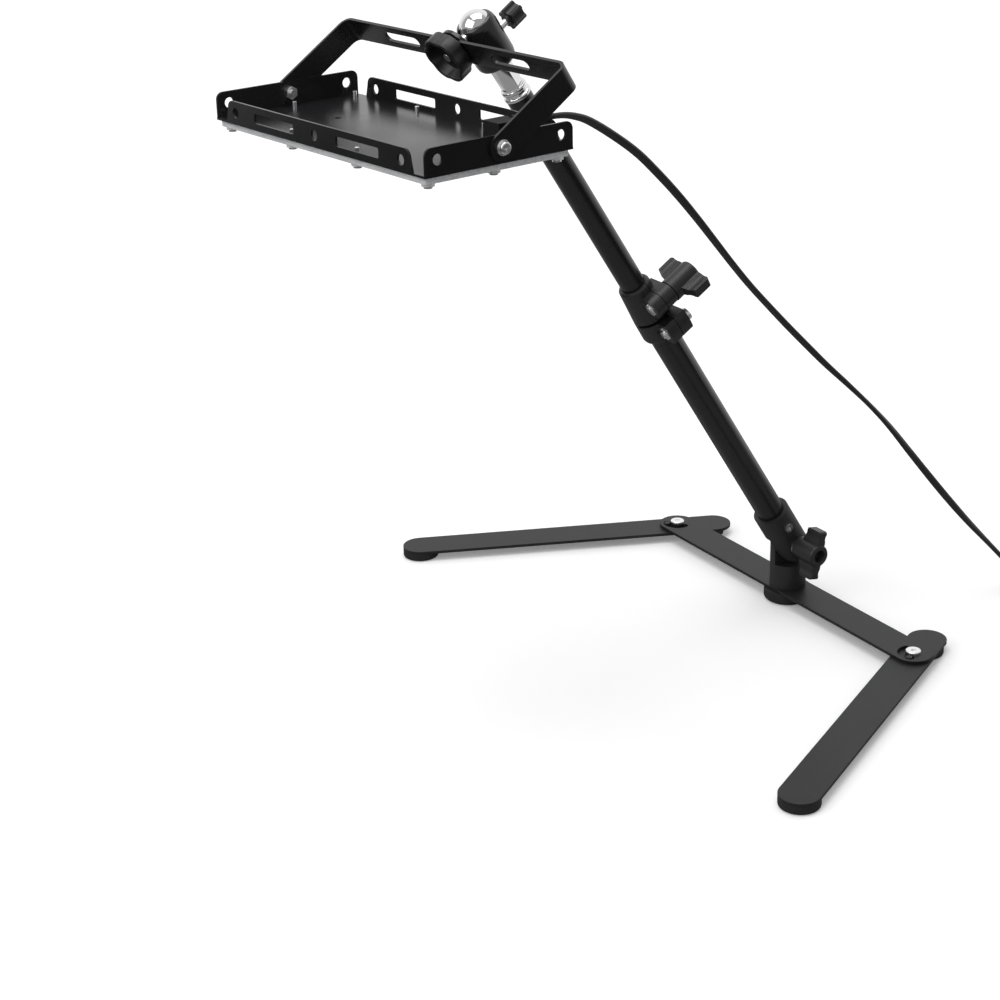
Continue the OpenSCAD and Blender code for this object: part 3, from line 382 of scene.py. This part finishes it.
# Feet: moulded black rubber, glued under the bars.
foot_rubber, foot_shader, place = finish_of("foot_rubber", IOR=1.45)
grain = place.noise(1600, 3, 0.6)
connect(foot_shader,
        Base_Color=place.noise(40, 4).mix((0.009, 0.009, 0.009), (0.017, 0.017, 0.017)),
        Roughness=grain.between(0.62, 0.74),
        Normal=grain.bump(0.3, 0.00015))
for foot in ("left_arm_feet", "right_arm_feet", "centre_foot"):
    dressed(foot, 0.0003, foot_rubber)

# Bought fasteners: steel, zinc plated bright, turned and cold headed.
bright_zinc, zinc_shader, place = finish_of("bright_zinc", Metallic=1.0, IOR=2.5)
plating = place.noise(420, 3, 0.6)
connect(zinc_shader,
        Base_Color=plating.mix((0.88, 0.88, 0.89), (0.98, 0.98, 0.97)),
        Roughness=plating.between(0.24, 0.4),
        Normal=place.noise(900, 2).bump(0.12, 0.0001))
for fastener in ("pivot_screws", "pivot_nuts", "boss_screw", "tilt_bolt", "tilt_washer", "socket_screw",
                 "collar_screw", "collar_screw_nut", "collar_bolt", "collar_bolt_nut", "lock_screw",
                 "side_bolts", "side_washers", "side_nuts"):
    dressed(fastener, 0.0002, bright_zinc)

# Lens screws: the ends of their threads stand only a little over the floor of the tray. Heights are
# from the line of the side bolts, square to the tray.
lamp_middle = Vector((0.00887, -0.35259, 0.4484))
lamp_up = Vector((-0.019, 0.0192, 0.9996)).normalized()
thread_end = -0.0052
lens_screws = dressed("lens_screws", 0.0002, bright_zinc)
for vertex in lens_screws.data.vertices:
    height = (vertex.co - lamp_middle).dot(lamp_up)
    vertex.co -= lamp_up * max(0, height - thread_end)

# Lap joint of the post: boss and tube socket, die cast in aluminium and powder coated with a fine
# texture.
cast_coat, cast_shader, place = finish_of("cast_texture_coat", IOR=1.5)
skin = place.noise(1150, 3, 0.6)
connect(cast_shader,
        Base_Color=place.noise(30, 4).mix((0.011, 0.011, 0.012), (0.019, 0.019, 0.02)),
        Roughness=skin.between(0.4, 0.55),
        Normal=skin.bump(0.35, 0.00025))
for casting in ("boss", "tube_socket"):
    dressed(casting, 0.0005, cast_coat)

# Knobs and collar: glass filled nylon, moulded, with a faint spark texture.
nylon, nylon_shader, place = finish_of("black_nylon", IOR=1.53)
spark = place.noise(1900, 2, 0.5)
connect(nylon_shader,
        Base_Color=place.noise(60, 3).mix((0.010, 0.010, 0.011), (0.016, 0.016, 0.017)),
        Roughness=spark.between(0.34, 0.48),
        Normal=spark.bump(0.2, 0.00015))
for moulding in ("tilt_knob", "collar_knob", "lock_knob", "collar"):
    dressed(moulding, 0.0006, nylon)

# Telescopic tubes: drawn steel, painted in semi-gloss black. A white bush guides the upper one, and
# the pad under the ball is of the same plastic.
tube_paint, tube_shader, place = finish_of("tube_paint", Base_Color=(0.008, 0.008, 0.009, 1), IOR=1.52)
connect(tube_shader,
        Roughness=place.noise(220, 3, 0.6).between(0.2, 0.3),
        Normal=place.noise(500, 2).bump(0.08, 0.0002))
for tube in ("lower_tube", "upper_tube"):
    dressed(tube, 0.0002, tube_paint)
white_acetal = finish_of("white_acetal", Base_Color=(0.7, 0.69, 0.65, 1), Roughness=0.4)[0]
for bearing in ("guide_bush", "pressure_pad"):
    dressed(bearing, 0.0002, white_acetal)

# Ball head: turned aluminium housing with a glossy black anodised skin, and a hardened steel ball
# and spigot, ground and chromed.
anodised, anodised_shader, place = finish_of("black_anodised", IOR=1.6)
turning = place.noise(300, 2, 0.5)
connect(anodised_shader,
        Base_Color=turning.mix((0.008, 0.008, 0.009), (0.012, 0.012, 0.013)),
        Roughness=turning.between(0.16, 0.24))
for turned_piece in ("ball_housing", "platform_disc"):
    dressed(turned_piece, 0.0004, anodised)
chrome, chrome_shader, place = finish_of("chrome", Metallic=1.0, Base_Color=(0.82, 0.82, 0.83, 1))
connect(chrome_shader, Roughness=place.noise(500, 2).between(0.05, 0.11))
for plated in ("ball_stem", "spigot"):
    dressed(plated, 0.0003, chrome)

# Lamp: strap and tray folded from steel sheet and sprayed satin black. The strap's folds are wide.
sheet_coat, sheet_shader, place = finish_of("sheet_satin_black", IOR=1.5)
spray = place.noise(800, 2, 0.5)
cloud = place.noise(18, 4, 0.55)
connect(sheet_shader,
        Base_Color=cloud.mix((0.009, 0.009, 0.010), (0.014, 0.014, 0.015)),
        Roughness=cloud.between(0.17, 0.25) + spray * 0.05,
        Normal=spray.bump(0.14, 0.0002))
ball_middle = np.array((0, -0.27712, 0.4953))
along_tray = np.array((0.99418, 0.1064, 0.0168))
stem_outward = np.array((0.0993, -0.8451, -0.5252))
along_tray /= np.linalg.norm(along_tray)
stem_outward -= along_tray * (stem_outward @ along_tray)
stem_outward /= np.linalg.norm(stem_outward)
strap_sheet = 0.002
tight_fold = 0.003
wide_fold = 0.0075
cuts_per_flat = 6
on_the_plane = 1e-7


def wider_folds(made, middle, along, outward):
    """Opens the two folds of a bent strip. A point near a fold goes from its place on the old centre
    line, a flat, a tight arc and a flat, to the same share of one wide arc at its old depth."""
    shape = bmesh.new()
    shape.from_mesh(made.data)
    spots = np.array([vertex.co for vertex in shape.verts]) - middle
    half_span = np.abs(spots @ along).max()
    web = (spots @ outward).min()
    for cut in np.linspace(tight_fold, wide_fold, cuts_per_flat):
        planes = ((along, half_span - cut), (along, cut - half_span), (outward, web + cut))
        for axis, distance in planes:
            bmesh.ops.bisect_plane(
                shape, geom=[*shape.verts, *shape.edges, *shape.faces], dist=on_the_plane,
                plane_co=middle + axis * distance, plane_no=axis)
    flat = wide_fold - tight_fold
    centre_line = tight_fold - strap_sheet / 2
    whole = 2 * flat + centre_line * math.pi / 2
    for vertex in shape.verts:
        spot = np.array(vertex.co) - middle
        x, z = spot @ along, spot @ outward
        inward, down = half_span - abs(x), z - web
        if inward >= wide_fold or down >= wide_fold:
            continue
        if inward >= tight_fold:
            run_in, depth = wide_fold - inward, down
        elif down >= tight_fold:
            run_in, depth = whole - (wide_fold - down), inward
        else:
            depth = tight_fold - math.hypot(tight_fold - inward, tight_fold - down)
            run_in = flat + centre_line * math.atan2(tight_fold - inward, tight_fold - down)
        angle = run_in / whole * math.pi / 2
        new_x = math.copysign(half_span - wide_fold + (wide_fold - depth) * math.sin(angle), x)
        new_z = web + wide_fold - (wide_fold - depth) * math.cos(angle)
        vertex.co = Vector(np.array(vertex.co) + along * (new_x - x) + outward * (new_z - z))
    shape.to_mesh(made.data)
    shape.free()
    made.data.shade_smooth()
    made.data.set_sharp_from_angle(angle=sharp_edge)


strap = dressed("strap", 0.0003, sheet_coat)
wider_folds(strap, ball_middle, along_tray, stem_outward)
dressed("tray", 0.00025, sheet_coat)

# Thumb wheel: a moulded disc with six shallow grips in its rim and a cup for the end of the stud.
# The profile goes from the bore's lower edge round the rim and through the cup to its upper edge.
wheel_profile = np.array([
    (3.25, 0), (8.5, 0), (8.5, 0.8), (16.0, 0.8), (16.8, 1.1), (17.2, 1.8), (17.2, 10.3), (17.0, 11.0),
    (16.5, 11.4), (14.9, 11.4), (14.4, 11.1), (14.1, 10.4), (12.0, 5.1), (11.5, 4.6), (10.8, 4.4),
    (3.25, 4.4)]) / 1000
wheel_seat = 0.023
grip_count = 6
grip_depth = 0.0012
grip_turn = math.radians(20)
grips_beyond = 0.0135


def gripped_wheel(steps):
    """Vertices and faces of the profile turned about the stem. Its radius beyond grips_beyond is
    less by grip_depth (1/2 + cos(grip_count (angle - grip_turn)) / 2)^2."""
    angle = np.linspace(0, 2 * math.pi, steps, endpoint=False)
    grips = grip_depth * (0.5 + 0.5 * np.cos(grip_count * (angle - grip_turn))) ** 2
    side = np.cross(stem_outward, along_tray)
    radius, height = wheel_profile[None, :, 0], wheel_profile[None, :, 1:]
    reach = radius - grips[:, None] * (radius > grips_beyond)
    points = (ball_middle
              + (reach * np.cos(angle)[:, None])[:, :, None] * along_tray
              + (reach * np.sin(angle)[:, None])[:, :, None] * side
              + (height + wheel_seat) * stem_outward)
    index = np.arange(steps * len(wheel_profile)).reshape(steps, -1)
    turned_on = np.roll(index, -1, axis=0)
    faces = [index, turned_on, np.roll(turned_on, -1, axis=1), np.roll(index, -1, axis=1)]
    return points.reshape(-1, 3), np.stack(faces, axis=-1).reshape(-1, 4).tolist()


wheel = piece_from("thumb_wheel_finished", *gripped_wheel(120),
                   body_of_node["thumb_wheel"], slot_of_node["thumb_wheel"])
wheel.data.set_sharp_from_angle(angle=math.radians(50))
wheel.data.materials.append(nylon)
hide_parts("thumb_wheel")

# LED board under the tray: white board, its LEDs and the rubber gasket round it.
white_mask = finish_of("board_white", Base_Color=(0.8, 0.8, 0.78, 1), Roughness=0.35)[0]
dressed("led_board", 0, white_mask)
phosphor = finish_of("led_lens", Base_Color=(0.75, 0.68, 0.3, 1), Roughness=0.2)[0]
dressed("leds", 0, phosphor)
gasket_rubber = finish_of("gasket_black", Base_Color=(0.02, 0.02, 0.02, 1), Roughness=0.7)[0]
dressed("gasket", 0, gasket_rubber)

# Lens plate: clear moulded acrylic, see-through on its faces. Its edge is barely see-through and painted
# pale with paler streaks: painted light for the light the plate carries from the white board.
clear, clear_shader, place = finish_of("clear_acrylic", Base_Color=(0.92, 0.94, 0.95, 1), IOR=1.49,
                                       Transmission_Weight=0.85)
connect(clear_shader, Roughness=place.noise(90, 3).between(0.05, 0.11))
lens_edge, edge_shader, place = finish_of("acrylic_edge_painted_light", Roughness=0.1, IOR=1.49,
                                          Transmission_Weight=0.2)
# Painted light: the edge's pale, streaked colour stands in for light carried through the plate from the
# white board.
painted_light_streaks = place.noise(60, 4, 0.65, stretch=(0.5, 6, 6))
connect(edge_shader,
        Base_Color=painted_light_streaks.above(0.3, 0.7).mix((0.75, 0.77, 0.79), (0.98, 0.99, 0.99)),
        Normal=painted_light_streaks.bump(0.3, 0.0004))
lens = dressed("lens_plate", 0.0004, clear)
lens.data.materials.append(lens_edge)
edge_slot = 1
for face in lens.data.polygons:
    if abs(face.normal.dot(lamp_up)) < 0.9:
        face.material_index = edge_slot

# Cable gland and strain relief: soft black PVC moulded over the cord, and its plug with brass pins.
pvc, pvc_shader, place = finish_of("black_pvc", Base_Color=(0.009, 0.009, 0.009, 1),
                                   Specular_IOR_Level=0.25)
connect(pvc_shader,
        Roughness=place.noise(1200, 2).between(0.42, 0.54),
        Normal=place.noise(1400, 2).bump(0.2, 0.0001))
for moulded in ("cable_gland", "strain_relief", "plug"):
    dressed(moulded, 0.0005, pvc)
brass = finish_of("pin_brass", Metallic=1.0, Base_Color=(0.72, 0.62, 0.38, 1), Roughness=0.28)[0]
dressed("plug_pins", 0.0003, brass)
